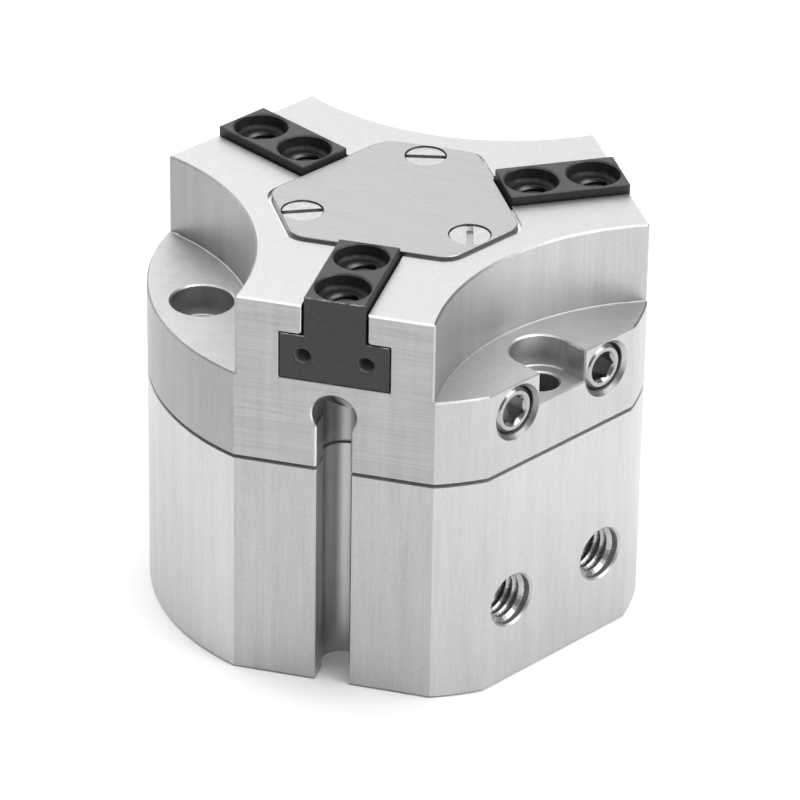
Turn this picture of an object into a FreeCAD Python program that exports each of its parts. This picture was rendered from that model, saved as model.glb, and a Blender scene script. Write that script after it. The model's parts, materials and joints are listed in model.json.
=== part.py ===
import FreeCAD, Part
import math
import os

# Pneumatic three-jaw parallel gripper. Millimetres. +Z is up and the base lies on z = 0.
# Each station is drawn facing -Y (outward), then turned about Z to its own angle.

V = FreeCAD.Vector

# --- body outline
BODY_R = 23.0
FLAT_A = 21.05
SEAM_Z = 22.2
LEDGE_Z = 30.95
TOP_Z = 38.8
JAW_ANGLES = {"front": 0.0, "right": 120.0, "left": 240.0}
CORNER_ANGLES = (60.0, 180.0, 300.0)
PORT_ANGLE = 60.0
EDGE = 0.2
ARM_EDGE = 0.18
SEAM_GAP = 0.4
SEAM_INSET = 1.0
SLOT_REBATE = 0.3

# --- scallops between the arms
SCALLOP_R = 23.0
SCALLOP_CENTRE = 37.0
SCALLOP_FOOT = 0.15

# --- jaw guide (T-slot) and jaws
GUIDE_GAP = 0.1
GUIDE_ROUND = 0.12
LIP_ROUND = 0.3
SLOT_EDGE = 0.08
TEE_HALF = 5.05
TEE_Z0 = 31.3
TEE_Z1 = 35.75
STEM_HALF = 2.84
STEM_SLOT_HALF = 3.07
JAW_TOP = 39.66
STEM_IN = 9.77
TEE_IN = 9.5
JAW_EDGE = 0.1
TEE_EDGE = 0.06
JAW_CORNER = 0.2
DRIVE_EDGE = 0.05
SEAT_R = 2.5
SEAT_DEPTH = 1.4
SEAT_FILLET = 0.6
SEAT_RIM = 0.14
SEAT_RADII = (12.47, 18.33)
JAW_THREAD_R = 1.5
JAW_THREAD_Z = 33.2
CONE_DEPTH = 0.15
DRILL_TIP = 0.8
END_HOLE_X = 2.9
END_HOLE_Z = 33.65
END_HOLE_R = 0.82
END_HOLE_DEPTH = 5.0

# --- wedge drive: inclined face r = WEDGE_R - (z - TEE_Z0), at 45 degrees
WEDGE_R = 7.2
WEDGE_GAP = 0.15
FOOT_HALF = 3.5
RAIL_NECK = 1.3
RAIL_NECK_T = 1.2
RAIL_HEAD = 2.3
RAIL_HEAD_T = 1.3
RAIL_ROOT = 1.2
RAIL_GAP = 0.1
RAIL_Z0 = 29.5
WEDGE_TOP = 34.2
WEDGE_Z0 = 27.3
HUB_R = 7.0
CAVITY_R = 7.3
CAVITY_Z = 27.0
POCKET_HALF = 2.6
POCKET_R = 12.7
POCKET_Z = 29.2

# --- cover plate and its screws
PLATE_Z0 = 37.4
PLATE_Z1 = 39.1
PLATE_LONG = 9.35
PLATE_SHORT = 11.07
PLATE_ROUND = 2.0
PLATE_GAP = 0.05
PLATE_EDGE = 0.06
RELIEF_GAP = 0.4
RELIEF_DEPTH = 0.35
COVER_SCREW_R = 9.05
COVER_HEAD_R = 1.85
COVER_HEAD_SUNK = 0.12
COVER_HEAD_RIM = 0.15
COVER_HEAD_CONE = 0.85
COVER_HEAD_GAP = 0.12
COVER_THREAD_R = 1.0
COVER_THREAD_Z = 33.0
SLOT_WIDTH = 0.62
SLOT_DEPTH = 0.4
COVER_SLOT_TURN = {60.0: 105.0, 180.0: 13.0, 300.0: 25.0}

# --- mounting holes
MOUNT_R = 18.35
MOUNT_HOLE_R = 1.7
MOUNT_HOLE_EDGE = 0.15
MOUNT_SEAT_R = 2.92
MOUNT_SEAT_Z = 27.8
NOTCH_HALF = 2.87
SEAT_CORNER = 0.25
RIM_EDGE = 0.15

# --- sensor slots in the three jaw flats
SENSOR_R = 2.0
SENSOR_IN = 3.45
SENSOR_NECK = 1.6
SENSOR_TOP = 28.0
SENSOR_ENTRY_R = 2.05
SENSOR_EDGE = 0.15

# --- air ports and blanking plugs on the port flat
PORT_X = 5.8
PORT_Z = 8.35
PORT_R = 2.5
PORT_DEPTH = 5.0
PORT_CONE = 0.18
AIR_R = 0.8
AIR_TIP = 0.9
AIR_IN_X = 4.6
AIR_IN_Y = 11.2
AIR_LOW_Z = 5.8
AIR_HIGH_Z = 20.3
PLUG_X = 5.7
PLUG_Z = 28.0
PLUG_R = 2.2
PLUG_LENGTH = 3.2
PLUG_SUNK = 0.35
PLUG_CONE = 0.35
PLUG_HEX = 2.5
PLUG_GAP = 0.2
PLUG_RIM = 0.3
PLUG_SOCKET = 1.9
PLUG_BEVEL = 0.3
PLUG_TURN = {-1: 0.0, 1: 25.0}
PLUG_RING = 1.75
PLUG_CORD = 0.45
PLUG_SEAL_ROOM = 1.0

# --- cylinder
BORE_R = 12.5
CAP_BORE_R = 13.5
CAP_BORE_Z = 4.9
CAP_EDGE = 0.4
CAP_Z0 = 2.2
CAP_Z1 = 4.8
CAP_DISH_R = 8.0
CAP_DISH = 0.6
CAP_GROOVE = (12.3, 2.95, 4.15)
CAP_CORD_AT = (12.9, 0.52, 3.55)
RING_Z0 = 1.2
RING_Z1 = 2.1
RING_R0 = 12.1
RING_R1 = 14.1
RING_OPEN = 3.2
RING_LUG = 1.6
RING_LUG_AT = 11.3
RING_EYE = 0.7
RING_EYE_AT = 11.0
RING_LUG_ANGLE = 21.0
SEAM_GROOVE = (13.4, 14.7)
SEAM_GROOVE_DEPTH = 0.95
SEAM_CORD_AT = (14.05, 0.45, SEAM_Z - 0.47)
SCREW_AT = 17.5
SCREW_ANGLES = (22.0, 142.0, 262.0)
SCREW_R = 1.25
SCREW_HEAD_R = 2.25
SCREW_HEAD_Z = 2.8
SCREW_HEAD_H = 2.5
SCREW_TOP = 27.2
SCREW_PLAY = 0.1
SCREW_HEX = 2.0
SCREW_SOCKET = 1.2
DRILL_OVER = 0.6
DOWEL_ANGLES = (-22.0, 158.0)
DOWEL_AT = 17.8
DOWEL_R = 1.0
DOWEL_Z0 = 19.4
DOWEL_Z1 = 25.0
END_GAP = 0.3
PIN_EDGE = 0.2

# --- piston and rod
PISTON_R = 12.4
PISTON_Z0 = 4.9
PISTON_Z1 = 19.0
PISTON_STEP_R = 10.8
PISTON_STEPS = (1.6, 1.4)
SEAL_BAND_LOWER = (10.2, 7.4, 9.2)
SEAL_BAND_UPPER = (10.2, 14.9, 16.7)
GUIDE_BAND = (11.6, 9.9, 11.1)
MAGNET_BAND = (9.6, 11.7, 14.1)
MAGNET_R = 12.15
SEAL_EDGE = 0.25
BAND_GAP = 0.05
PISTON_BOLT_R = 2.0
PISTON_BOLT_PLAY = 0.2
PISTON_BOLT_HEAD = (3.5, 5.6, 9.6)
PISTON_BOLT_SEAT_R = 3.7
PISTON_BOLT_TOP = 21.5
PISTON_BOLT_HEX = 3.0
PISTON_BOLT_SOCKET = 2.0
ROD_CORD_AT = (4.6, 0.52, 17.0)
ROD_GROOVE = (5.2, 16.4, 17.6)
ROD_R = 4.0
ROD_Z0 = 15.0
ROD_THREAD_TOP = 22.5
ROD_PRESS = 0.02
BUSH_R = 5.6
BUSH_Z0 = 24.7
ROD_SEAL_R = 6.3
ROD_SEAL_Z0 = 23.0
ROD_SEAL_TOP = 24.15
ROD_BAY_TOP = 24.2
ROD_PLAY = 0.35
ROD_BORE_PLAY = 0.4

# --- general
RUN = 0.05
PLAY = 0.05
FAR = 40.0


def turned(shape, angle):
    """A copy of the shape turned about the gripper's axis."""
    copy = shape.copy()
    copy.rotate(V(0, 0, 0), V(0, 0, 1), angle)
    return copy


def cylinder(radius, z0, z1, x=0.0, y=0.0):
    """Upright cylinder."""
    return Part.makeCylinder(radius, z1 - z0, V(x, y, z0))


def cone(r0, r1, z0, z1, x=0.0, y=0.0):
    """Upright cone from radius r0 at z0 to r1 at z1."""
    return Part.makeCone(r0, r1, z1 - z0, V(x, y, z0))


def ring(r0, r1, z0, z1):
    """Upright ring about the gripper's axis."""
    return cylinder(r1, z0, z1).cut(cylinder(r0, z0 - 1, z1 + 1))


def block(half, near, far, z0, z1, x=0.0):
    """Box in the front station: across +-half about x, outward from near to far."""
    return Part.makeBox(2 * half, far - near, z1 - z0, V(x - half, -far, z0))


def drilling(radius, near, far, x, z):
    """Level cylinder in the front station, from near to far outward."""
    return Part.makeCylinder(radius, far - near, V(x, -near, z), V(0, -1, 0))


def mouth(radius, size, far, x, z):
    """Chamfer cutter round the mouth of a level hole in the flat at far."""
    return Part.makeCone(radius, radius + size + 0.5, size + 0.5, V(x, -(far - size), z), V(0, -1, 0))


def polar(radius, angle):
    """Plan position at a radius along a station's direction."""
    a = math.radians(angle)
    return radius * math.sin(a), -radius * math.cos(a)


def without(shape, cutters):
    """The shape less every cutter."""
    return shape.cut(list(cutters))


def joined(shapes):
    """One solid from touching shapes."""
    return shapes[0].fuse(shapes[1:]).removeSplitter()


def export(name, shape):
    """Write one node."""
    shape.exportStep("parts/" + name + ".step")


def outline(z0, z1, inset=0.0):
    """The body's prism: round, with three jaw flats and the port flat."""
    prism = cylinder(BODY_R - inset, z0, z1)
    flats = []
    for angle in list(JAW_ANGLES.values()) + [PORT_ANGLE]:
        flats.append(turned(block(FAR, FLAT_A - inset, FAR, z0 - 1, z1 + 1), angle))
    return without(prism, flats)


def level_edges(shape, z):
    """Edges of the outline that lie at height z."""
    found = []
    for edge in shape.Edges:
        box = edge.BoundBox
        if abs(box.ZMin - z) < 1e-6 and abs(box.ZMax - z) < 1e-6:
            found.append(edge)
    return found


def sensor_slot(z0, z1, grow=0.0):
    """Cutter for the round-bottomed sensor slot of the front station."""
    groove = cylinder(SENSOR_R + grow, z0, z1, 0, -(FLAT_A - SENSOR_IN))
    neck = block(SENSOR_NECK + grow, FLAT_A - SENSOR_IN, FLAT_A + 1, z0, z1)
    return groove.fuse(neck)


def slot_lips(z0, z1):
    """Cutter that breaks the slot's upright edges in the flat."""
    half = SENSOR_NECK
    size = SENSOR_EDGE
    points = [(half - size, FLAT_A - 2 * size), (half + 2 * size, FLAT_A + size)]
    corners = [V(x, -y, z0) for x, y in points] + [V(-x, -y, z0) for x, y in reversed(points)]
    return Part.Face(Part.makePolygon(corners + corners[:1])).extrude(V(0, 0, z1 - z0))


def sensor_entry():
    """Cutter for the wider entry hole at the top of the slot, with its edge broken."""
    entry = drilling(SENSOR_ENTRY_R, FLAT_A - SENSOR_IN - SENSOR_R, FLAT_A + 1, 0, SENSOR_TOP)
    return entry.fuse(mouth(SENSOR_ENTRY_R, SENSOR_EDGE, FLAT_A, 0, SENSOR_TOP))


def air_passage(side, height):
    """Cutters for one air port: tapped hole, drill tip and the drilling to the bore."""
    x = side * PORT_X
    end = FLAT_A - PORT_DEPTH
    start = V(x, -(end - AIR_TIP / 2), PORT_Z)
    run = V(side * AIR_IN_X, -AIR_IN_Y, height) - start
    cutters = [drilling(PORT_R, end, FLAT_A + 1, x, PORT_Z)]
    cutters.append(mouth(PORT_R, PORT_CONE, FLAT_A, x, PORT_Z))
    cutters.append(drilling(AIR_R + RIM_EDGE, end - AIR_TIP, FLAT_A - 1, x, PORT_Z))
    cutters.append(Part.makeCylinder(AIR_R, run.Length, start, run))
    return [turned(cutter, PORT_ANGLE) for cutter in cutters]


def cylinder_body():
    """Lower body with the cylinder bore."""
    body = outline(0, SEAM_Z)
    body = body.makeChamfer(EDGE, level_edges(body, 0))
    cutters = [cylinder(BORE_R, CAP_BORE_Z, SEAM_Z + 1), cylinder(CAP_BORE_R, -1, CAP_BORE_Z)]
    cutters.append(cone(CAP_BORE_R + CAP_EDGE, CAP_BORE_R, 0, CAP_EDGE))
    cutters.append(ring(CAP_BORE_R - 1, RING_R1 + PLAY, RING_Z0 - PLAY, RING_Z1 + PLAY))
    cutters.append(ring(*SEAM_GROOVE, SEAM_Z - SEAM_GROOVE_DEPTH, SEAM_Z + 1))
    for angle in JAW_ANGLES.values():
        cutters.append(turned(sensor_slot(-1, SEAM_Z + 1), angle))
        cutters.append(turned(slot_lips(-1, SEAM_Z + 1), angle))
    for angle in CORNER_ANGLES:
        cutters.append(cylinder(MOUNT_HOLE_R, -1, SEAM_Z + 1, *polar(MOUNT_R, angle)))
    for angle in SCREW_ANGLES:
        x, y = polar(SCREW_AT, angle)
        cutters.append(cylinder(SCREW_R + SCREW_PLAY, -1, SEAM_Z + 1, x, y))
        cutters.append(cylinder(SCREW_HEAD_R + SCREW_PLAY, -1, SCREW_HEAD_Z, x, y))
    for angle in DOWEL_ANGLES:
        cutters.append(cylinder(DOWEL_R, DOWEL_Z0, SEAM_Z + 1, *polar(DOWEL_AT, angle)))
    cutters += air_passage(-1, AIR_LOW_Z) + air_passage(1, AIR_HIGH_Z)
    return without(body, cutters)


def plate_prism(z0, z1, grow=0.0):
    """Six-sided prism with rounded corners, long sides facing the jaws."""
    long_side = PLATE_LONG + grow
    short_side = PLATE_SHORT + grow
    corners = []
    for step in range(3):
        base = step * 120.0
        spread = math.degrees(math.atan2(short_side - long_side * 0.5, long_side * math.sin(math.pi / 3)))
        reach = long_side / math.cos(math.radians(spread))
        for turn in (-spread, spread):
            x, y = polar(reach, base + turn)
            corners.append(V(x, y, z0))
    corners.append(corners[0])
    prism = Part.Face(Part.makePolygon(corners)).extrude(V(0, 0, z1 - z0))
    upright = [e for e in prism.Edges if e.BoundBox.ZLength > (z1 - z0) * 0.99]
    return prism.makeFillet(PLATE_ROUND + grow, upright)


def long_edges(shape, x, z):
    """Edges along Y at +-x and z."""
    found = []
    for edge in shape.Edges:
        box = edge.BoundBox
        if box.YLength > 10 and abs(abs(box.Center.x) - x) < 0.02 and abs(box.Center.z - z) < 0.02:
            found.append(edge)
    return found


def guide_slot():
    """Cutter for one T-slot of the housing, front station, with its lips rounded."""
    tee = block(TEE_HALF + GUIDE_GAP, 0, FAR, TEE_Z0 - GUIDE_GAP, TEE_Z1 + GUIDE_GAP)
    corners = [e for e in tee.Edges if e.BoundBox.YLength > FAR - 1]
    tee = tee.makeFillet(GUIDE_ROUND, corners)
    slot = tee.fuse(block(STEM_SLOT_HALF, 0, FAR, TEE_Z1, TOP_Z + 2))
    return slot.makeFillet(LIP_ROUND, long_edges(slot, STEM_SLOT_HALF, TEE_Z1 + GUIDE_GAP))


def slot_mouth_edges(shape):
    """Edges of the front station's T-slot that lie in the arm's flat, clear of its top."""
    found = []
    for edge in shape.Edges:
        box = edge.BoundBox
        on_flat = abs(box.YMin + FLAT_A) < 1e-6 and abs(box.YMax + FLAT_A) < 1e-6
        inside = max(abs(box.XMin), abs(box.XMax)) < TEE_HALF + 0.5
        if on_flat and inside and box.ZMin > TEE_Z0 - 0.5:
            found.append(edge)
    return found


def arm_block():
    """Three arms with their T-slots, edges broken. They run down to the seam inside the lower part."""
    arms = outline(SEAM_Z, TOP_Z)
    for angle in CORNER_ANGLES:
        arms = arms.cut(turned(cylinder(SCALLOP_R, SEAM_Z - 1, TOP_Z + 1, 0, -SCALLOP_CENTRE), angle))
    tall = [e for e in arms.Edges if e.BoundBox.ZLength > TOP_Z - SEAM_Z - 1]
    outer = [e for e in tall if math.hypot(e.BoundBox.Center.x, e.BoundBox.Center.y) > FLAT_A]
    arms = arms.makeChamfer(ARM_EDGE, outer + level_edges(arms, TOP_Z))
    arms = without(arms, [turned(guide_slot(), angle) for angle in JAW_ANGLES.values()])
    for angle in JAW_ANGLES.values():
        arms = turned(arms, -angle)
        arms = turned(arms.makeChamfer(SLOT_EDGE, slot_mouth_edges(arms)), angle)
    return arms


def ledge_block():
    """Lower part of the housing with the screw seats and their broken rims."""
    lower = outline(SEAM_Z, LEDGE_Z)
    cutters = []
    for angle in CORNER_ANGLES:
        seat = cylinder(MOUNT_SEAT_R, MOUNT_SEAT_Z, LEDGE_Z + 1, 0, -MOUNT_R)
        cutters.append(turned(seat.makeFillet(SEAT_CORNER, level_edges(seat, MOUNT_SEAT_Z)), angle))
    notch = block(NOTCH_HALF, MOUNT_R, FLAT_A + 1, MOUNT_SEAT_Z, LEDGE_Z + 1)
    cutters.append(turned(notch, PORT_ANGLE))
    lower = turned(without(lower, cutters), -PORT_ANGLE)
    rims = level_edges(lower, LEDGE_Z)
    for edge in lower.Edges:
        box = edge.BoundBox
        on_flat = abs(box.YMin + FLAT_A) < 1e-6 and abs(box.YMax + FLAT_A) < 1e-6
        if on_flat and box.ZMin > SEAM_Z + 1 and box.ZMax - box.ZMin > 1:
            if abs(box.Center.x) < MOUNT_SEAT_R:
                rims.append(edge)
        if on_flat and abs(box.Center.z - MOUNT_SEAT_Z) < 1e-6:
            rims.append(edge)
    return turned(lower.makeChamfer(RIM_EDGE, rims), PORT_ANGLE)


def plate_recess():
    """Cutters for the cover plate's recess and the relief round its top."""
    relief = plate_prism(TOP_Z - RELIEF_DEPTH, TOP_Z + 1, RELIEF_GAP)
    return [plate_prism(PLATE_Z0, TOP_Z, PLATE_GAP), relief]


def fastener_holes():
    """Cutters for the mounting, cover, assembly and dowel holes of the housing."""
    cutters = []
    for angle in CORNER_ANGLES:
        x, y = polar(MOUNT_R, angle)
        rim = MOUNT_HOLE_R + MOUNT_HOLE_EDGE
        cutters.append(cylinder(MOUNT_HOLE_R, SEAM_Z - 1, LEDGE_Z, x, y))
        cutters.append(cone(MOUNT_HOLE_R, rim, MOUNT_SEAT_Z - MOUNT_HOLE_EDGE, MOUNT_SEAT_Z, x, y))
        cutters.append(cylinder(COVER_THREAD_R, COVER_THREAD_Z, TOP_Z, *polar(COVER_SCREW_R, angle)))
    for angle in SCREW_ANGLES:
        cutters.append(cylinder(SCREW_R, SEAM_Z - 1, SCREW_TOP + DRILL_OVER, *polar(SCREW_AT, angle)))
    for angle in DOWEL_ANGLES:
        cutters.append(cylinder(DOWEL_R, SEAM_Z - 1, DOWEL_Z1 + END_GAP, *polar(DOWEL_AT, angle)))
    return cutters


def scallop_feet(shape):
    """Edges where the scallop walls stand on the ledges."""
    found = []
    for edge in level_edges(shape, LEDGE_Z):
        if isinstance(edge.Curve, Part.Circle) and abs(edge.Curve.Radius - SCALLOP_R) < PLAY:
            found.append(edge)
    return found


def plug_holes():
    """Cutters for the two plug holes of the port flat."""
    cutters = []
    for side in (-1, 1):
        x = side * PLUG_X
        seat = FLAT_A - PLUG_SUNK - PLUG_LENGTH
        radius = PLUG_R + PLUG_GAP
        cutters.append(turned(drilling(radius, seat - PLUG_SEAL_ROOM, FLAT_A + 1, x, PLUG_Z), PORT_ANGLE))
        cutters.append(turned(mouth(radius, PLUG_CONE, FLAT_A, x, PLUG_Z), PORT_ANGLE))
    return cutters


def guide_housing():
    """Upper body: arms, ledges, jaw guides, cavity for the wedge, rod guide."""
    core = outline(SEAM_Z - 2, SEAM_Z + 1, SEAM_INSET)
    middle = [outline(SEAM_Z - 1, SEAM_Z + SEAM_GAP).cut(core)]
    middle.append(cylinder(CAVITY_R, CAVITY_Z, TOP_Z + 1))
    middle.append(cylinder(ROD_R + ROD_BORE_PLAY, SEAM_Z - 1, CAVITY_Z + 1))
    middle.append(cylinder(BUSH_R, BUSH_Z0, CAVITY_Z + 1))
    middle.append(cylinder(ROD_SEAL_R + PLAY, SEAM_Z - 1, ROD_BAY_TOP))
    slots = []
    for angle in JAW_ANGLES.values():
        slots.append(turned(block(POCKET_HALF, 0, POCKET_R, POCKET_Z, TEE_Z0), angle))
        slots.append(turned(sensor_slot(SEAM_Z - 1, SENSOR_TOP), angle))
        slots.append(turned(slot_lips(SEAM_Z - 1, SENSOR_TOP), angle))
        slots.append(turned(sensor_slot(SEAM_Z - 1, SEAM_Z + SEAM_GAP, SLOT_REBATE), angle))
    entries = [turned(sensor_entry(), angle) for angle in JAW_ANGLES.values()]
    body = joined([ledge_block(), arm_block()])
    body = body.makeFillet(SCALLOP_FOOT, scallop_feet(body))
    for cutters in (middle, slots, entries, plug_holes(), plate_recess(), fastener_holes()):
        body = without(body, cutters)
    return body


def cover_plate():
    """Sunk plate over the cavity, countersunk for three screws."""
    plate = plate_prism(PLATE_Z0, PLATE_Z1)
    plate = plate.makeChamfer(PLATE_EDGE, level_edges(plate, PLATE_Z1))
    shank = COVER_THREAD_R + SCREW_PLAY
    head = COVER_HEAD_R + COVER_HEAD_GAP
    rim = PLATE_Z1 - COVER_HEAD_SUNK - COVER_HEAD_RIM
    cutters = []
    for angle in CORNER_ANGLES:
        x, y = polar(COVER_SCREW_R, angle)
        cutters.append(cylinder(shank, PLATE_Z0 - 1, PLATE_Z1, x, y))
        cutters.append(cone(shank, head, rim - COVER_HEAD_CONE - SCREW_PLAY, rim, x, y))
        cutters.append(cylinder(head, rim, PLATE_Z1 + 1, x, y))
    return without(plate, cutters)


def cover_screws():
    """Three slotted countersunk screws."""
    top = PLATE_Z1 - COVER_HEAD_SUNK
    rim_z = top - COVER_HEAD_RIM
    screws = []
    for angle in CORNER_ANGLES:
        shank = cylinder(COVER_THREAD_R, COVER_THREAD_Z + END_GAP, rim_z - COVER_HEAD_CONE / 2)
        head = cone(COVER_THREAD_R, COVER_HEAD_R, rim_z - COVER_HEAD_CONE, rim_z)
        rim = cylinder(COVER_HEAD_R, rim_z, top)
        screw = joined([shank, head, rim])
        slot = Part.makeBox(6, SLOT_WIDTH, 2, V(-3, -SLOT_WIDTH / 2, top - SLOT_DEPTH))
        slot.rotate(V(0, 0, 0), V(0, 0, 1), COVER_SLOT_TURN[angle])
        screw = screw.cut(slot)
        x, y = polar(COVER_SCREW_R, angle)
        screw.translate(V(x, y, 0))
        screws.append(screw)
    return Part.makeCompound(screws)


def hexagon_prism(across, near, far, x, z, turn=0.0):
    """Level hexagonal cutter in the front station, one corner up, then turned about its own axis."""
    reach = across / math.sqrt(3)
    corners = []
    for step in range(7):
        a = math.radians(60 * step + 30 + turn)
        corners.append(V(x + reach * math.cos(a), -far, z + reach * math.sin(a)))
    return Part.Face(Part.makePolygon(corners)).extrude(V(0, far - near, 0))


def upright_socket(across, z0, z1):
    """Upright hexagonal cutter on the axis."""
    socket = hexagon_prism(across, -z1, -z0, 0, 0)
    socket.rotate(V(0, 0, 0), V(1, 0, 0), 90)
    return socket


def blanking_plugs():
    """Two threaded plugs with hexagon sockets."""
    plugs = []
    outer = FLAT_A - PLUG_SUNK
    for side in (-1, 1):
        x = side * PLUG_X
        plug = drilling(PLUG_R, outer - PLUG_LENGTH, outer, x, PLUG_Z)
        plug = plug.makeChamfer(PLUG_RIM, [e for e in plug.Edges if e.Closed])
        bevel = mouth(PLUG_HEX / 2, PLUG_BEVEL, outer, x, PLUG_Z)
        socket = hexagon_prism(PLUG_HEX, outer - PLUG_SOCKET, outer + 1, x, PLUG_Z, PLUG_TURN[side])
        plug = without(plug, [socket, bevel])
        plugs.append(turned(plug, PORT_ANGLE))
    return Part.makeCompound(plugs)


def plug_seals():
    """O-rings behind the plugs."""
    seals = []
    inner = FLAT_A - PLUG_SUNK - PLUG_LENGTH
    for side in (-1, 1):
        at = V(side * PLUG_X, -(inner - PLUG_SEAL_ROOM / 2), PLUG_Z)
        seals.append(turned(Part.makeTorus(PLUG_RING, PLUG_CORD, at, V(0, 1, 0)), PORT_ANGLE))
    return Part.makeCompound(seals)


def inclined_bar(half, start, thick, z0, z1):
    """Bar on the wedge face of the front station, from start to start + thick along its normal."""
    bar = Part.makeBox(2 * half, thick, FAR, V(-half, -start - thick, -FAR / 2))
    bar.rotate(V(0, 0, 0), V(1, 0, 0), -45)
    bar.translate(V(0, -WEDGE_R, TEE_Z0))
    return bar.common(Part.makeBox(2 * FAR, 2 * FAR, z1 - z0, V(-FAR, -FAR, z0)))


def wedge_hook():
    """Rod and wedge block with three inclined T-rails."""
    hub = cylinder(HUB_R, WEDGE_Z0, WEDGE_TOP)
    rails = []
    for angle in JAW_ANGLES.values():
        face = inclined_bar(FAR / 2, -WEDGE_GAP, FAR, WEDGE_Z0 - 1, WEDGE_TOP + 1)
        hub = hub.cut(turned(face, angle))
        neck = inclined_bar(RAIL_NECK, -RAIL_ROOT, RAIL_NECK_T + RAIL_ROOT + BAND_GAP, RAIL_Z0, WEDGE_TOP)
        head = inclined_bar(RAIL_HEAD, RAIL_NECK_T, RAIL_HEAD_T, RAIL_Z0, WEDGE_TOP)
        rails += [turned(neck, angle), turned(head, angle)]
    rod = cylinder(ROD_R, ROD_Z0, WEDGE_Z0 + 1)
    hook = joined([hub, rod] + rails)
    return hook.cut(cylinder(PISTON_BOLT_R + ROD_PRESS, ROD_Z0 - 1, ROD_THREAD_TOP))


def jaw_seat(radius):
    """Cutters for one sleeve seat with its cone and thread."""
    top = JAW_TOP
    floor = top - SEAT_DEPTH
    seat = cylinder(SEAT_R, floor, top + 1, 0, -radius)
    seat = seat.makeFillet(SEAT_FILLET, level_edges(seat, floor))
    rim = cone(SEAT_R, SEAT_R + 2 * SEAT_RIM, top - SEAT_RIM, top + SEAT_RIM, 0, -radius)
    dish = cone(JAW_THREAD_R, JAW_THREAD_R + CONE_DEPTH, floor - CONE_DEPTH, floor, 0, -radius)
    thread = cylinder(JAW_THREAD_R, JAW_THREAD_Z, floor, 0, -radius)
    tip = cone(BAND_GAP, JAW_THREAD_R, JAW_THREAD_Z - DRILL_TIP, JAW_THREAD_Z, 0, -radius)
    return [seat, rim, dish, thread, tip]


def tee_profile():
    """The jaw's T-shaped bar with broken edges and rounded inner corners."""
    tee = block(TEE_HALF, TEE_IN, FLAT_A, TEE_Z0, TEE_Z1)
    tee = tee.makeChamfer(TEE_EDGE, tee.Edges)
    stem = block(STEM_HALF, STEM_IN, FLAT_A, TEE_Z1 - 1, JAW_TOP)
    stem = stem.makeChamfer(JAW_EDGE, [e for e in stem.Edges if e.BoundBox.ZMax > TEE_Z1 + JAW_EDGE])
    bar = joined([tee, stem])
    return bar.makeFillet(JAW_CORNER, long_edges(bar, STEM_HALF, TEE_Z1))


def jaw():
    """One T-shaped jaw, front station."""
    foot = block(FOOT_HALF, 0, TEE_IN + 1, TEE_Z0 + DRIVE_EDGE, TEE_Z1 - DRIVE_EDGE)
    foot = foot.cut(inclined_bar(FAR / 2, -FAR, FAR, 0, TOP_Z + FAR))
    head_room = RAIL_HEAD_T + 2 * RAIL_GAP
    cutters = [inclined_bar(RAIL_NECK + RAIL_GAP, -1, RAIL_NECK_T + RAIL_ROOT, 0, TOP_Z)]
    cutters.append(inclined_bar(RAIL_HEAD + RAIL_GAP, RAIL_NECK_T - RAIL_GAP, head_room, 0, TOP_Z))
    for radius in SEAT_RADII:
        cutters += jaw_seat(radius)
    for side in (-1, 1):
        x = side * END_HOLE_X
        cutters.append(drilling(END_HOLE_R, FLAT_A - END_HOLE_DEPTH, FLAT_A + 1, x, END_HOLE_Z))
    return without(joined([tee_profile(), foot]), cutters)


def piston():
    """Piston with grooves for two seals, a magnet and a guide ring."""
    body = cylinder(PISTON_R, PISTON_Z0 + PISTON_STEPS[0], PISTON_Z1 - PISTON_STEPS[1])
    steps = cylinder(PISTON_STEP_R, PISTON_Z0, PISTON_Z1)
    cutters = []
    for radius, z0, z1 in (SEAL_BAND_LOWER, SEAL_BAND_UPPER, GUIDE_BAND, MAGNET_BAND):
        cutters.append(ring(radius, PISTON_R + 1, z0, z1))
    cutters.append(ring(ROD_R - 1, *ROD_GROOVE))
    cutters.append(cylinder(ROD_R + ROD_PRESS, ROD_Z0, PISTON_Z1 + 1))
    cutters.append(cylinder(PISTON_BOLT_R + PISTON_BOLT_PLAY, PISTON_Z0 - 1, ROD_Z0 + 1))
    cutters.append(cylinder(PISTON_BOLT_SEAT_R, PISTON_Z0 - 1, PISTON_BOLT_HEAD[2]))
    return without(joined([body, steps]), cutters)


def band(groove, outer):
    """Ring that fills a piston groove out to a radius."""
    radius, z0, z1 = groove
    return ring(radius + BAND_GAP, outer, z0 + BAND_GAP, z1 - BAND_GAP)


def seal_ring(groove):
    """Piston seal with broken edges."""
    seal = band(groove, BORE_R - RUN)
    return seal.makeChamfer(SEAL_EDGE, [e for e in seal.Edges if e.BoundBox.XMax > PISTON_STEP_R])


def piston_screw():
    """Cap screw that holds the piston on the rod."""
    radius, z0, z1 = PISTON_BOLT_HEAD
    head = cylinder(radius, z0, z1)
    shank = cylinder(PISTON_BOLT_R, z1 - RUN, PISTON_BOLT_TOP)
    socket = upright_socket(PISTON_BOLT_HEX, z0 - 1, z0 + PISTON_BOLT_SOCKET)
    return joined([head, shank]).cut(socket)


def retaining_ring():
    """Internal retaining ring with two lugs."""
    body = ring(RING_R0, RING_R1, RING_Z0, RING_Z1)
    shapes = [body.cut(block(RING_OPEN, 0, FAR, RING_Z0 - 1, RING_Z1 + 1))]
    eyes = []
    for angle in (-RING_LUG_ANGLE, RING_LUG_ANGLE):
        shapes.append(cylinder(RING_LUG, RING_Z0, RING_Z1, *polar(RING_LUG_AT, angle)))
        eyes.append(cylinder(RING_EYE, 0, RING_Z1 + 1, *polar(RING_EYE_AT, angle)))
    return without(joined(shapes).common(cylinder(RING_R1, 0, RING_Z1 + 1)), eyes)


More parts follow.
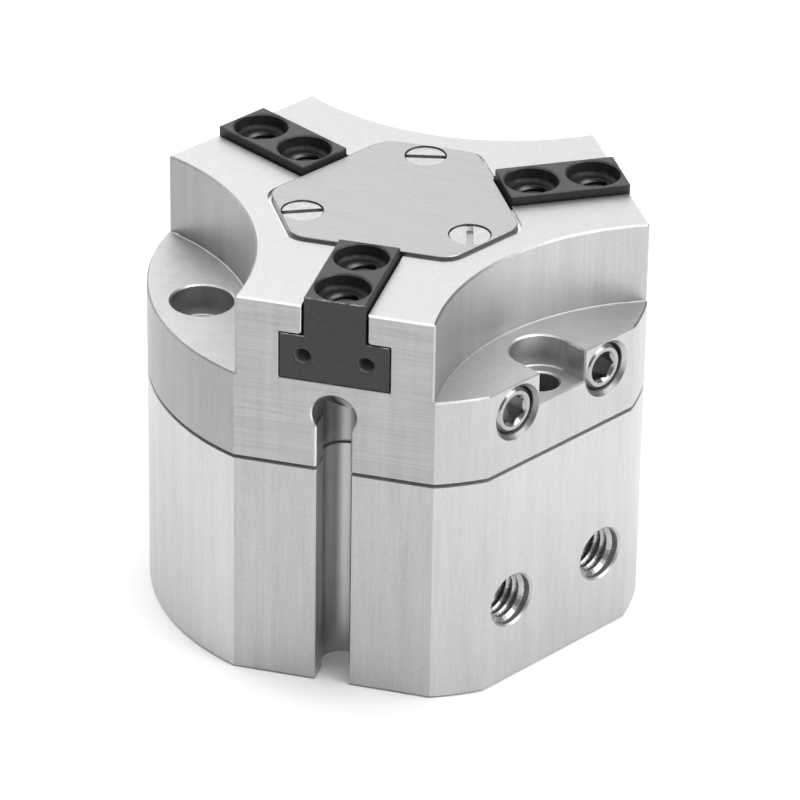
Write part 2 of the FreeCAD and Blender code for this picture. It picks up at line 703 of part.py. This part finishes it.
def assembly_screws():
    """Three cap screws from below."""
    screws = []
    bottom = SCREW_HEAD_Z - SCREW_HEAD_H
    for angle in SCREW_ANGLES:
        head = cylinder(SCREW_HEAD_R, bottom, SCREW_HEAD_Z)
        shank = cylinder(SCREW_R, SCREW_HEAD_Z - RUN, SCREW_TOP)
        socket = upright_socket(SCREW_HEX, bottom - 1, bottom + SCREW_SOCKET)
        screw = joined([head, shank]).cut(socket)
        x, y = polar(SCREW_AT, angle)
        screw.translate(V(x, y, 0))
        screws.append(screw)
    return Part.makeCompound(screws)


def rims(shape):
    """The level round edges of an upright turned part."""
    return [e for e in shape.Edges if e.Closed and e.BoundBox.ZLength < RUN]


def dowel_pins():
    """Two pins that line up the bodies."""
    pins = []
    for angle in DOWEL_ANGLES:
        pin = cylinder(DOWEL_R, DOWEL_Z0, DOWEL_Z1, *polar(DOWEL_AT, angle))
        pins.append(pin.makeChamfer(PIN_EDGE, rims(pin)))
    return Part.makeCompound(pins)


def end_cap():
    """Disc that closes the cylinder from below."""
    cap = cylinder(CAP_BORE_R - PLAY, CAP_Z0, CAP_Z1)
    cap = cap.makeChamfer(EDGE, rims(cap))
    radius, z0, z1 = CAP_GROOVE
    dish = cylinder(CAP_DISH_R, CAP_Z0 - 1, CAP_Z0 + CAP_DISH)
    return without(cap, [ring(radius, CAP_BORE_R + 1, z0, z1), dish])


def o_ring(radius, cord, z):
    """O-ring about the gripper's axis."""
    return Part.makeTorus(radius, cord, V(0, 0, z))


def main():
    """Build and write every node."""
    os.makedirs("parts", exist_ok=True)
    export("cylinder_body", cylinder_body())
    export("guide_housing", guide_housing())
    export("cover_plate", cover_plate())
    export("cover_screws", cover_screws())
    export("blanking_plugs", blanking_plugs())
    export("plug_seals", plug_seals())
    export("end_cap", end_cap())
    export("end_cap_o_ring", o_ring(*CAP_CORD_AT))
    export("retaining_ring", retaining_ring())
    export("seam_o_ring", o_ring(*SEAM_CORD_AT))
    export("rod_bush", ring(ROD_R + RUN, BUSH_R, BUSH_Z0, CAVITY_Z))
    export("rod_seal", ring(ROD_R + RUN, ROD_SEAL_R, ROD_SEAL_Z0, ROD_SEAL_TOP))
    export("seal_retainer", ring(ROD_R + ROD_PLAY, ROD_SEAL_R, SEAM_Z, ROD_SEAL_Z0 - PLAY))
    export("assembly_screws", assembly_screws())
    export("dowel_pins", dowel_pins())
    export("piston", piston())
    export("piston_seal_lower", seal_ring(SEAL_BAND_LOWER))
    export("piston_seal_upper", seal_ring(SEAL_BAND_UPPER))
    export("magnet_ring", band(MAGNET_BAND, MAGNET_R))
    export("guide_ring", band(GUIDE_BAND, BORE_R - RUN))
    export("piston_o_ring", o_ring(*ROD_CORD_AT))
    export("piston_screw", piston_screw())
    export("wedge_hook", wedge_hook())
    for name, angle in JAW_ANGLES.items():
        export("jaw_" + name, turned(jaw(), angle))


main()
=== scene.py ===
import json
import math

import bmesh
import bpy
from mathutils import Matrix, Vector


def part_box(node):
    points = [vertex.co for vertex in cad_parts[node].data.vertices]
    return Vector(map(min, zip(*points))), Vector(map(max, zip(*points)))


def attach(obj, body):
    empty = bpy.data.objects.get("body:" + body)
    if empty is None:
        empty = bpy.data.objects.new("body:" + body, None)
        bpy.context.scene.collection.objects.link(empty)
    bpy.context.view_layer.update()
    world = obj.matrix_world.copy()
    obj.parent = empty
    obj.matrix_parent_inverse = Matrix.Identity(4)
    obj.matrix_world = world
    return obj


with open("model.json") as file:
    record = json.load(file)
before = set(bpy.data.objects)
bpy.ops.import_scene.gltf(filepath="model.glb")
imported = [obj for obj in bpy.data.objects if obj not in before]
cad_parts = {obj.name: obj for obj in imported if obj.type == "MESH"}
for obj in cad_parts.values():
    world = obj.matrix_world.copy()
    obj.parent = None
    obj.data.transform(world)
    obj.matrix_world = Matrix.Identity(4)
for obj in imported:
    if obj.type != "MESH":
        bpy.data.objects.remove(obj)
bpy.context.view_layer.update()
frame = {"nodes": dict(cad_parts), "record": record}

RECORD = frame["record"]
NODES = frame["nodes"]
MOUNTS = {m["name"]: m for m in RECORD["mounts"]}
JAWS = {"front": 0.0, "right": 120.0, "left": 240.0}
CORNERS = (60.0, 180.0, 300.0)
PORT_ANGLE = 60.0

HOUSE_LO, HOUSE_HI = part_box("guide_housing")
SEAM_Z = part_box("cylinder_body")[1][2]
TOP_Z = HOUSE_HI[2]
FLAT_A = -HOUSE_LO[1]
MOUNT_R = MOUNTS["mounting_holes"]["dims"]["pcd_mm"] / 2000
JAW_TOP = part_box("jaw_front")[1][2]
END_HOLES = MOUNTS["jaw_front_end_holes"]
END_HOLE_Z = END_HOLES["pos_m"][2]
END_HOLE_X = END_HOLES["dims"]["pcd_mm"] / 2000
END_HOLE_R = END_HOLES["dims"]["hole_r_mm"] / 1000 + 0.00005

# Threads, in metres.
PORT_PITCH = 0.0008
PORT_RIDGE = 0.00042
PORT_LEAD_IN = 0.0005
PORT_SHORTER = 0.0009
JAW_PITCH = 0.0005
JAW_RIDGE = 0.0003
JAW_THREAD_BELOW_TOP = 0.0016
JAW_THREAD_LENGTH = 0.0042
STEPS_PER_TURN = 40
RUNOUT_TURNS = 0.35
RIDGE_ROOT = 1.006
RIDGE_PROFILE = ((0.0, -0.46), (1.0, -0.07), (1.0, 0.07), (0.0, 0.46))


# ---------------------------------------------------------------- helpers
def direction(angle):
    """Outward unit vector of a station."""
    a = math.radians(angle)
    return Vector((math.sin(a), -math.cos(a), 0.0))


class Graph:
    """Small helper for building one material's node tree."""

    def __init__(self, name):
        self.material = bpy.data.materials.new(name)
        self.material.use_nodes = True
        self.tree = self.material.node_tree
        self.tree.nodes.clear()
        self.shader = self.tree.nodes.new("ShaderNodeBsdfPrincipled")
        out = self.tree.nodes.new("ShaderNodeOutputMaterial")
        self.link(self.shader.outputs[0], out.inputs[0])

    def link(self, a, b):
        self.tree.links.new(a, b)

    def put(self, target, value):
        """A number, colour or another node's output goes into a socket."""
        if isinstance(value, bpy.types.NodeSocket):
            self.link(value, target)
        elif isinstance(value, tuple) and len(value) == 3 and len(target.default_value) == 4:
            target.default_value = (*value, 1.0)
        else:
            target.default_value = value

    def math(self, op, a, b=0.0, c=0.0, clamp=False):
        n = self.tree.nodes.new("ShaderNodeMath")
        n.operation = op
        n.use_clamp = clamp
        for socket, value in zip(n.inputs, (a, b, c)):
            self.put(socket, value)
        return n.outputs[0]

    def times(self, *values):
        product = values[0]
        for value in values[1:]:
            product = self.math("MULTIPLY", product, value)
        return product

    def other(self, value):
        """One minus the value."""
        return self.math("SUBTRACT", 1.0, value)

    def mix(self, factor, a, b):
        n = self.tree.nodes.new("ShaderNodeMix")
        n.data_type = "RGBA"
        self.put(n.inputs[0], factor)
        self.put(n.inputs[6], a)
        self.put(n.inputs[7], b)
        return n.outputs[2]

    def blend(self, factor, a, b):
        n = self.tree.nodes.new("ShaderNodeMix")
        n.data_type = "FLOAT"
        self.put(n.inputs[0], factor)
        self.put(n.inputs[2], a)
        self.put(n.inputs[3], b)
        return n.outputs[0]

    def ramp(self, value, low, high):
        """0 below low, 1 above high."""
        n = self.tree.nodes.new("ShaderNodeMapRange")
        n.clamp = True
        self.put(n.inputs[0], value)
        n.inputs[1].default_value = low
        n.inputs[2].default_value = high
        return n.outputs[0]

    def coords(self):
        return self.tree.nodes.new("ShaderNodeTexCoord").outputs["Object"]

    def split(self, vector):
        n = self.tree.nodes.new("ShaderNodeSeparateXYZ")
        self.put(n.inputs[0], vector)
        return n.outputs

    def join(self, x, y, z):
        n = self.tree.nodes.new("ShaderNodeCombineXYZ")
        for socket, value in zip(n.inputs, (x, y, z)):
            self.put(socket, value)
        return n.outputs[0]

    def scaled(self, vector, scale, turn=(0, 0, 0)):
        n = self.tree.nodes.new("ShaderNodeMapping")
        self.put(n.inputs[0], vector)
        n.inputs[2].default_value = turn
        n.inputs[3].default_value = scale
        return n.outputs[0]

    def noise(self, vector, scale, detail=3.0, rough=0.6):
        n = self.tree.nodes.new("ShaderNodeTexNoise")
        self.put(n.inputs["Vector"], vector)
        n.inputs["Scale"].default_value = scale
        n.inputs["Detail"].default_value = detail
        n.inputs["Roughness"].default_value = rough
        return n.outputs["Fac"]

    def bump(self, height, distance, strength=1.0):
        n = self.tree.nodes.new("ShaderNodeBump")
        self.put(n.inputs["Height"], height)
        n.inputs["Distance"].default_value = distance
        n.inputs["Strength"].default_value = strength
        self.link(n.outputs[0], self.shader.inputs["Normal"])

    def normal(self):
        return self.split(self.tree.nodes.new("ShaderNodeNewGeometry").outputs["True Normal"])


def metal(name, base, rough, metallic=1.0):
    """A graph whose shader is set up as plain metal."""
    g = Graph(name)
    g.shader.inputs["Metallic"].default_value = metallic
    g.put(g.shader.inputs["Base Color"], base)
    g.shader.inputs["Roughness"].default_value = rough
    return g


# ---------------------------------------------------------------- materials
def along(g, vector, angle):
    """How far a vector's three outputs reach towards a station."""
    d = direction(angle)
    return g.math("ADD", g.times(vector[0], d.x), g.times(vector[1], d.y))


def station(g, normal, place, angle):
    """1 on the flat that faces a station, 0 elsewhere."""
    reach = g.ramp(along(g, place, angle), FLAT_A - 0.0002, FLAT_A - 0.0001)
    return g.times(g.ramp(along(g, normal, angle), 0.985, 0.995), reach)


def band(g, value, low, high):
    """1 between two levels, 0 outside them."""
    soft = 0.00002
    return g.times(g.ramp(value, low - soft, low), g.other(g.ramp(value, high, high + soft)))


def flat_rim(g, normal, place, angle, every_level=0.0):
    """1 on the broken edges of the flat that faces a station, save its upright outer corners.

    Of its level edges only the uppermost counts, unless every_level is 1.
    """
    facing = along(g, normal, angle)
    tilted = g.times(g.ramp(facing, 0.60, 0.68), g.other(g.ramp(facing, 0.80, 0.90)))
    reach = g.ramp(along(g, place, angle), FLAT_A - 0.0005, FLAT_A - 0.0003)
    beside = g.math("ABSOLUTE", along(g, place, angle + 90.0))
    inner = g.other(g.ramp(beside, 0.0072, 0.0074))
    uppermost = g.ramp(place[2], TOP_Z - 0.0006, TOP_Z - 0.0005)
    rising = g.ramp(normal[2], 0.3, 0.5)
    return g.times(tilted, reach, g.blend(rising, inner, g.blend(every_level, uppermost, 1.0)))


def from_seat(g, place):
    """Distance in plan to the nearest mounting hole."""
    nearest = 1.0
    for angle in CORNERS:
        at = direction(angle) * MOUNT_R
        dx = g.math("SUBTRACT", place[0], at.x)
        dy = g.math("SUBTRACT", place[1], at.y)
        square = g.math("ADD", g.times(dx, dx), g.times(dy, dy))
        nearest = g.math("MINIMUM", nearest, g.math("SQRT", square))
    return nearest


def anodised(name, base, upper):
    """Clear-anodised aluminium. Walls carry fine upright grain; the milled jaw flats are duller.

    On the upper body the jaw flats have level cutter lines, the ledges a rougher end-milled
    finish with arcs about the screw seats, and the turned walls of the left half get painted shade.
    On the lower body the edges broken towards the jaws get a little painted shade. On the upper
    body they, the rims of the screw seats and the floor of the relief round the cover plate get
    painted highlights; the edges of the port flat get painted shade, and so a little do the
    ledges' outer edges. The faces inside the seam are less metallic.
    """
    g = metal(name, base, 0.4)
    p = g.coords()
    n = g.normal()
    place = g.split(p)
    up = g.math("ABSOLUTE", n[2])
    flat_up = g.ramp(up, 0.8, 0.95)
    edge = g.times(g.ramp(up, 0.3, 0.5), g.other(flat_up))
    dull = rim = 0.0
    for angle in JAWS.values():
        dull = g.math("MAXIMUM", dull, station(g, n, place, angle))
        rim = g.math("MAXIMUM", rim, flat_rim(g, n, place, angle))

    speck = g.noise(p, 5000.0, 2.0)
    side = g.blend(0.55, g.noise(g.scaled(p, (1, 1, 0.03)), 9000.0, 2.0), speck)
    top = g.noise(p, 4000.0, 3.0)
    # The milled jaw flats are darker; on the upper body the painted shade of the left half is added to this
    # below.
    shade = g.blend(dull, 1.0, 0.8)
    # Painted shade: the rims of the jaw flats are darkened a little; on the upper body this is replaced below.
    painted_light = g.blend(rim, 1.0, 0.85)
    ledge = 0.0
    if upper:
        seat = from_seat(g, place)
        ledge = g.times(flat_up, g.other(g.ramp(place[2], TOP_Z - 0.002, TOP_Z - 0.001)))
        level = g.noise(g.scaled(p, (0.02, 0.02, 1)), 6000.0, 2.0)
        side = g.blend(dull, side, g.blend(0.25, level, speck))
        arcs = g.noise(g.join(seat, 0.0, 0.0), 4500.0, 2.0)
        top = g.blend(g.times(ledge, 0.5), top, arcs)
        port_flat = station(g, n, place, PORT_ANGLE)
        milled = g.math("MAXIMUM", g.math("MAXIMUM", dull, port_flat), g.ramp(up, 0.3, 0.5))
        # Painted shade: the turned walls of the left half, away from the screw seats and off the milled faces and
        # edges, are darkened.
        left = g.times(g.other(g.ramp(place[0], -0.006, 0.004)), g.ramp(seat, 0.0030, 0.0032))
        shade = g.blend(g.times(left, g.other(milled)), shade, 0.68)
        # Painted highlight on the edges near the screw seats, painted shade on the other edges, and a stronger
        # painted highlight on the rims of the jaw flats.
        broken = g.blend(g.ramp(seat, 0.0035, 0.0037), 1.2, 0.8)
        painted_light = g.blend(rim, g.blend(edge, 1.0, broken), 1.6)
        # Painted highlight on the floor of the relief round the cover plate.
        relief = g.times(flat_up, band(g, place[2], TOP_Z - 0.0006, TOP_Z - 0.0002))
        painted_light = g.blend(relief, painted_light, 1.5)
        # Painted shade on the edges of the port flat.
        painted_light = g.blend(flat_rim(g, n, place, PORT_ANGLE, 1.0), painted_light, 0.55)

    grain = g.blend(flat_up, side, top)
    tint = g.ramp(grain, 0.25, 0.75)
    broad = g.noise(g.scaled(p, (1, 1, 0.06)), 900.0, 3.0)
    tone = g.blend(0.35, tint, g.ramp(broad, 0.3, 0.7))
    amount = g.blend(flat_up, g.blend(dull, 0.30, 0.38), g.blend(ledge, 0.14, 0.3))
    value = g.math("ADD", 1.0, g.times(amount, g.math("SUBTRACT", tone, 0.5)))
    # The darker jaw flats, the painted shade and the painted highlights and shade on the edges scale the tone
    # here.
    value = g.times(value, shade, painted_light)
    brightest = 1.8
    colour = g.mix(g.math("DIVIDE", value, brightest), (0.0, 0.0, 0.0), tuple(c * brightest for c in base))
    seam = g.times(up, band(g, place[2], SEAM_Z - 0.0001, SEAM_Z + 0.0001))
    g.put(g.shader.inputs["Base Color"], colour)
    g.put(g.shader.inputs["Roughness"], g.blend(ledge, g.blend(rim, g.blend(tint, 0.46, 0.36), 0.3), 0.58))
    g.put(g.shader.inputs["Metallic"], g.blend(seam, 1.0, 0.45))
    g.bump(grain, 0.00002, 0.5)
    return g.material


def satin_plate():
    """Ground steel plate: fine grain with faint lines along one direction."""
    low, high = (0.33, 0.33, 0.33), (0.39, 0.39, 0.39)
    g = metal("ground_cover_plate", high, 0.38)
    p = g.coords()
    fine = g.noise(p, 5000.0, 3.0)
    lines = g.noise(g.scaled(p, (0.05, 1, 1), (0, 0, 0.5)), 5000.0, 2.0)
    grain = g.blend(0.5, fine, lines)
    g.put(g.shader.inputs["Base Color"], g.mix(g.ramp(grain, 0.3, 0.7), low, high))
    g.bump(grain, 0.000012, 0.4)
    return g.material


def bright_steel(name, base, rough, grain=0.25, head=None):
    """Turned metal with a faint, soft grain. Below a given head height it is a little darker."""
    g = metal(name, base, rough)
    turned = g.ramp(g.noise(g.coords(), 2500.0, 2.0), 0.3, 0.7)
    g.put(g.shader.inputs["Roughness"], g.blend(turned, rough * 0.9, rough * 1.1))
    colour = g.mix(turned, tuple(c * (1 - grain) for c in base), base)
    if head is not None:
        low = g.other(g.ramp(g.split(g.coords())[2], head - 0.00002, head))
        colour = g.mix(low, colour, tuple(c * 0.7 for c in base))
    g.put(g.shader.inputs["Base Color"], colour)
    g.bump(turned, 0.000003, 0.2)
    return g.material


def black_oxide(name, angle):
    """Black-oxide steel, rubbed bright along the end's top edge and a little on the other edges.

    The turned seats are duller, and the small end holes are bare steel.
    """
    g = metal(name, (0.035, 0.035, 0.036), 0.45, 0.3)
    p = g.coords()
    n = g.normal()
    place = g.split(p)
    out = along(g, n, angle)
    across = g.math("ABSOLUTE", along(g, n, angle + 90.0))
    reach = along(g, place, angle)
    beside = g.math("ABSOLUTE", along(g, place, angle + 90.0))

    most = g.math("MAXIMUM", g.math("MAXIMUM", g.math("ABSOLUTE", out), across), g.math("ABSOLUTE", n[2]))
    edge = g.other(g.ramp(most, 0.74, 0.85))
    end_top = g.times(g.ramp(out, 0.6, 0.7), g.ramp(n[2], 0.6, 0.7))
    rubbed = g.times(end_top, g.ramp(reach, FLAT_A - 0.0004, FLAT_A - 0.0002))
    wear = g.ramp(g.noise(p, 1500.0, 4.0), 0.42, 0.62)
    worn = g.times(edge, wear, g.blend(rubbed, 0.05, 0.8))

    seat = g.times(g.ramp(n[2], 0.05, 0.15), band(g, place[2], JAW_TOP - 0.0018, JAW_TOP - 0.0003))
    sunk = g.other(g.ramp(reach, FLAT_A - 0.0002, FLAT_A - 0.0001))
    in_height = band(g, place[2], END_HOLE_Z - END_HOLE_R, END_HOLE_Z + END_HOLE_R)
    in_width = band(g, beside, END_HOLE_X - END_HOLE_R, END_HOLE_X + END_HOLE_R)
    hole = g.times(sunk, in_height, in_width)

    mottle = g.ramp(g.noise(p, 1800.0, 4.0), 0.3, 0.75)
    coat = g.mix(mottle, (0.026, 0.026, 0.027), (0.04, 0.04, 0.041))
    coat = g.mix(hole, g.mix(seat, coat, (0.015, 0.015, 0.015)), (0.35, 0.35, 0.35))
    g.put(g.shader.inputs["Base Color"], g.mix(worn, coat, (0.45, 0.45, 0.45)))
    g.put(g.shader.inputs["Specular IOR Level"], g.blend(seat, 0.5, 0.25))
    g.put(g.shader.inputs["Roughness"], g.blend(mottle, 0.42, 0.5))
    g.bump(g.noise(p, 6000.0, 2.0), 0.000004, 0.3)
    return g.material


def rubber(name, base):
    """Matt, faintly spotted rubber or plastic."""
    g = Graph(name)
    p = g.coords()
    spots = g.noise(p, 3000.0, 3.0)
    g.put(g.shader.inputs["Base Color"], g.mix(spots, base, tuple(c * 1.5 for c in base)))
    g.shader.inputs["Roughness"].default_value = 0.7
    g.bump(spots, 0.00002, 0.4)
    return g.material


def assign(node, material):
    for slot in NODES[node].material_slots:
        slot.material = material


LOWER = anodised("anodised_body_lower", (0.53, 0.53, 0.527), False)
UPPER = anodised("anodised_body_upper", (0.48, 0.48, 0.477), True)
PLATE = satin_plate()
SCREW = bright_steel("bright_screw_steel", (0.50, 0.50, 0.50), 0.3, 0.2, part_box("cover_screws")[1][2] - 0.0002)
PLUG = bright_steel("bright_plug_steel", (0.38, 0.38, 0.38), 0.22, 0.1)
THREAD = bright_steel("cut_thread_aluminium", (0.52, 0.52, 0.515), 0.27)
GROUND = bright_steel("ground_tool_steel", (0.42, 0.42, 0.43), 0.3)
JAW_THREAD = bright_steel("worn_thread_steel", (0.09, 0.09, 0.09), 0.38, 0.2)
SPRING = bright_steel("dull_spring_steel", (0.30, 0.30, 0.31), 0.4)
BRONZE = bright_steel("bush_bronze_metal", (0.60, 0.42, 0.22), 0.35)
BLACK = bright_steel("black_screw_steel", (0.06, 0.06, 0.065), 0.4)
RUBBER = rubber("seal_black_rubber", (0.02, 0.02, 0.02))
MAGNET = rubber("magnet_compound", (0.06, 0.06, 0.06))
IVORY = rubber("guide_ring_plastic", (0.6, 0.57, 0.5))

BY_SLOT = {
    "body_lower": LOWER, "body_upper": UPPER, "cover_steel": PLATE, "screw_steel": SCREW,
    "plug_steel": PLUG, "seal_rubber": RUBBER, "cap_aluminium": LOWER, "spring_steel": SPRING,
    "bush_bronze": BRONZE, "black_screw": BLACK, "magnet": MAGNET, "guide_plastic": IVORY,
    "tool_steel": GROUND,
}
for part in RECORD["subparts"]:
    if part["material_slot"] in BY_SLOT:
        assign(part["node"], BY_SLOT[part["material_slot"]])
JAW_BLACK = {name: black_oxide("black_oxide_" + name, angle) for name, angle in JAWS.items()}
for name, material in JAW_BLACK.items():
    assign("jaw_" + name, material)


# ---------------------------------------------------------------- threads
def thread(name, mouth, axis, radius, depth, pitch, length, body, material):
    """Helical thread ridge on the wall of a hole. mouth is on the axis, and axis points outward."""
    axis = Vector(axis).normalized()
    u = axis.orthogonal().normalized()
    v = axis.cross(u)
    steps = int(length / pitch * STEPS_PER_TURN)
    runout = STEPS_PER_TURN * RUNOUT_TURNS
    mesh = bmesh.new()
    rows = []
    for step in range(steps + 1):
        a = 2 * math.pi * step / STEPS_PER_TURN
        fade = min(1.0, step / runout, (steps - step) / runout)
        travel = -pitch * step / STEPS_PER_TURN
        row = []
        for height, offset in RIDGE_PROFILE:
            r = radius * RIDGE_ROOT - depth * height * fade
            at = Vector(mouth) + axis * (travel + offset * pitch) + (u * math.cos(a) + v * math.sin(a)) * r
            row.append(mesh.verts.new(at))
        rows.append(row)
    for first, second in zip(rows, rows[1:]):
        for k in range(3):
            mesh.faces.new((first[k], first[k + 1], second[k + 1], second[k]))
        mesh.faces.new((first[3], first[0], second[0], second[3]))
    mesh.faces.new(rows[0])
    mesh.faces.new(tuple(reversed(rows[-1])))
    bmesh.ops.recalc_face_normals(mesh, faces=mesh.faces)
    data = bpy.data.meshes.new(name)
    mesh.to_mesh(data)
    mesh.free()
    piece = bpy.data.objects.new(name, data)
    bpy.context.scene.collection.objects.link(piece)
    data.materials.append(material)
    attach(piece, body)


for side in ("left", "right"):
    mount = MOUNTS["air_port_" + side]
    axis = Vector(mount["axis"])
    length = mount["dims"]["length_mm"] / 1000
    mouth = Vector(mount["pos_m"]) + axis * (length / 2 - PORT_LEAD_IN)
    thread("port_thread_" + side, mouth, axis, mount["dims"]["r_mm"] / 1000, PORT_RIDGE, PORT_PITCH,
           length - PORT_SHORTER, "housing", THREAD)

for name, angle in JAWS.items():
    mount = MOUNTS["jaw_%s_threads" % name]
    centre = Vector(mount["pos_m"])
    half = mount["dims"]["pcd_mm"] / 2000
    for tag, sign in (("inner", -1), ("outer", 1)):
        mouth = centre + direction(angle) * half * sign
        mouth.z = JAW_TOP - JAW_THREAD_BELOW_TOP
        thread("jaw_thread_%s_%s" % (name, tag), mouth, (0, 0, 1), mount["dims"]["hole_r_mm"] / 1000,
               JAW_RIDGE, JAW_PITCH, JAW_THREAD_LENGTH, "jaw_" + name, JAW_THREAD)


# ---------------------------------------------------------------- stage
def floor():
    """Wide, matt, pale floor."""
    data = bpy.data.meshes.new("studio_floor")
    size = 3.0
    data.from_pydata([(-size, -size, 0), (size, -size, 0), (size, size, 0), (-size, size, 0)], [], [(0, 1, 2, 3)])
    plane = bpy.data.objects.new("studio_floor", data)
    bpy.context.scene.collection.objects.link(plane)
    g = Graph("studio_floor_white")
    g.put(g.shader.inputs["Base Color"], (0.93, 0.93, 0.93))
    g.shader.inputs["Roughness"].default_value = 0.9
    g.shader.inputs["Specular IOR Level"].default_value = 0.1
    data.materials.append(g.material)


def softbox(name, at, aim, size, radiance):
    """Soft rectangular panel with the given surface brightness."""
    light = bpy.data.lights.new(name, "AREA")
    light.shape = "RECTANGLE"
    light.size, light.size_y = size
    light.energy = math.pi * size[0] * size[1] * radiance
    lamp = bpy.data.objects.new(name, light)
    bpy.context.scene.collection.objects.link(lamp)
    lamp.location = at
    lamp.rotation_euler = (Vector(aim) - Vector(at)).to_track_quat("-Z", "Y").to_euler()


def studio():
    """Even white surroundings with four soft panels."""
    world = bpy.data.worlds.new("studio_world")
    bpy.context.scene.world = world
    world.use_nodes = True
    back = world.node_tree.nodes["Background"]
    back.inputs[0].default_value = (1.0, 1.0, 1.0, 1.0)
    back.inputs[1].default_value = 0.3
    target = (0, 0, 0.02)
    softbox("overhead", (0, 0, 0.8), target, (1.2, 1.2), 1.4)
    softbox("back_panel", (-0.25, 0.75, 0.5), target, (1.1, 0.7), 1.3)
    softbox("right_panel", (0.45, -0.05, 0.35), (0.3, -0.05, 0), (0.4, 0.6), 2.8)
    softbox("left_panel", (-0.4, 0.25, 0.35), (-0.25, 0.15, 0), (0.4, 0.5), 2.2)
    bpy.context.scene.view_settings.view_transform = "Standard"
    bpy.context.scene.view_settings.look = "None"


AZIMUTH_DEG, ELEVATION_DEG, ROLL_DEG = 15.18, 29.97, 0.92
LENS_MM, SENSOR_MM = 240.3, 36.0
DISTANCE = 0.4945
AIM_HEIGHT, AIM_RIGHT, AIM_DOWN = 0.0195, 0.000352, 0.001241


def camera():
    """Long lens, a little above and to the right of the front jaw, with a slight roll."""
    azimuth, elevation, roll = (math.radians(v) for v in (AZIMUTH_DEG, ELEVATION_DEG, ROLL_DEG))
    centre = Vector((0, 0, AIM_HEIGHT))
    level = math.cos(elevation)
    back = Vector((math.sin(azimuth) * level, -math.cos(azimuth) * level, math.sin(elevation)))
    right = Vector((math.cos(azimuth), math.sin(azimuth), 0))
    up = back.cross(right)
    data = bpy.data.cameras.new("camera")
    data.lens = LENS_MM
    data.sensor_width = SENSOR_MM
    data.clip_start = 0.01
    data.clip_end = 20
    cam = bpy.data.objects.new("camera", data)
    bpy.context.scene.collection.objects.link(cam)
    at = centre + back * DISTANCE
    aim = centre + right * AIM_RIGHT - up * AIM_DOWN
    look = (at - aim).normalized()
    side = Vector((0, 0, 1)).cross(look).normalized()
    top = look.cross(side)
    turn = Matrix((side, top, look)).transposed() @ Matrix.Rotation(roll, 3, "Z")
    cam.matrix_world = Matrix.Translation(at) @ turn.to_4x4()
    bpy.context.scene.camera = cam


floor()
studio()
camera()
